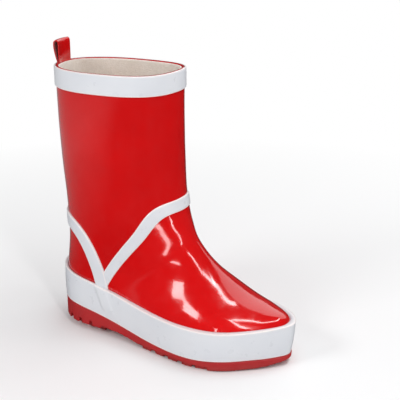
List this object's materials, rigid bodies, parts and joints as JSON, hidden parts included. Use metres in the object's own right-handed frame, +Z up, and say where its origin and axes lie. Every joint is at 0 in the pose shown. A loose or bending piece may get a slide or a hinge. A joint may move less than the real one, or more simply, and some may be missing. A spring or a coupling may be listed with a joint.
{
  "type": "rubber rain boot",
  "caption": "Child's knee-low rubber rain boot, right foot, red with pale trim bands, textile lining, pull loop, foxing band and lugged outsole.",
  "frame": {"origin": "on the ground under the middle of the heel tread, on the foot's long axis", "axes": "+X towards the toe, +Y towards the inner side of the foot, +Z up the leg"},
  "size_m": [0.1933, 0.0802, 0.2156],
  "materials": {
    "red_gloss_rubber": "lacquered, high gloss",
    "red_sole_rubber": "satin, moulded",
    "pale_trim_rubber": "smooth, slightly pearly",
    "reflective_patch": "retroreflective grey",
    "knit_lining": "cotton knit",
    "woven_tape": "woven twill",
    "insole_textile": "brushed",
    "insole_foam": "open cell",
    "fibre_board": "pressed",
    "filler_rubber": "sponge",
    "stiffener_sheet": "calendered, fabric backed"
  },
  "bodies": {
    "boot": {"outsole": "red_sole_rubber", "heel_plug": "filler_rubber", "bottom_filler": "filler_rubber", "insole_board": "fibre_board", "foxing_band": "pale_trim_rubber", "vamp": "red_gloss_rubber", "toe_puff": "stiffener_sheet", "heel_quarter": "red_gloss_rubber", "heel_stiffener": "stiffener_sheet", "leg_panel": "red_gloss_rubber", "collar_band": "pale_trim_rubber", "instep_strap": "pale_trim_rubber", "heel_strap": "pale_trim_rubber", "heel_patch": "reflective_patch", "leg_lining": "knit_lining", "foot_lining": "knit_lining", "back_seam_tape": "woven_tape"},
    "pull_loop": {"pull_tab": "red_gloss_rubber"},
    "insole": {"insole_foam": "insole_foam", "insole_cover": "insole_textile"}
  },
  "joints": [
    {"name": "pull_loop_flex", "type": "hinge", "parent": "boot", "child": "pull_loop", "pos_m": [-0.0235, -0.0035, 0.1995], "axis": [0, 1, 0], "range_deg": [-50, 40], "stiffness_Nm_per_rad": 0.02, "deforming": ["pull_tab"]},
    {"name": "insole_lift", "type": "hinge", "parent": "boot", "child": "insole", "pos_m": [0.1585, 0, 0.0215], "axis": [0, 1, 0], "range_deg": [0, 5]}
  ]
}
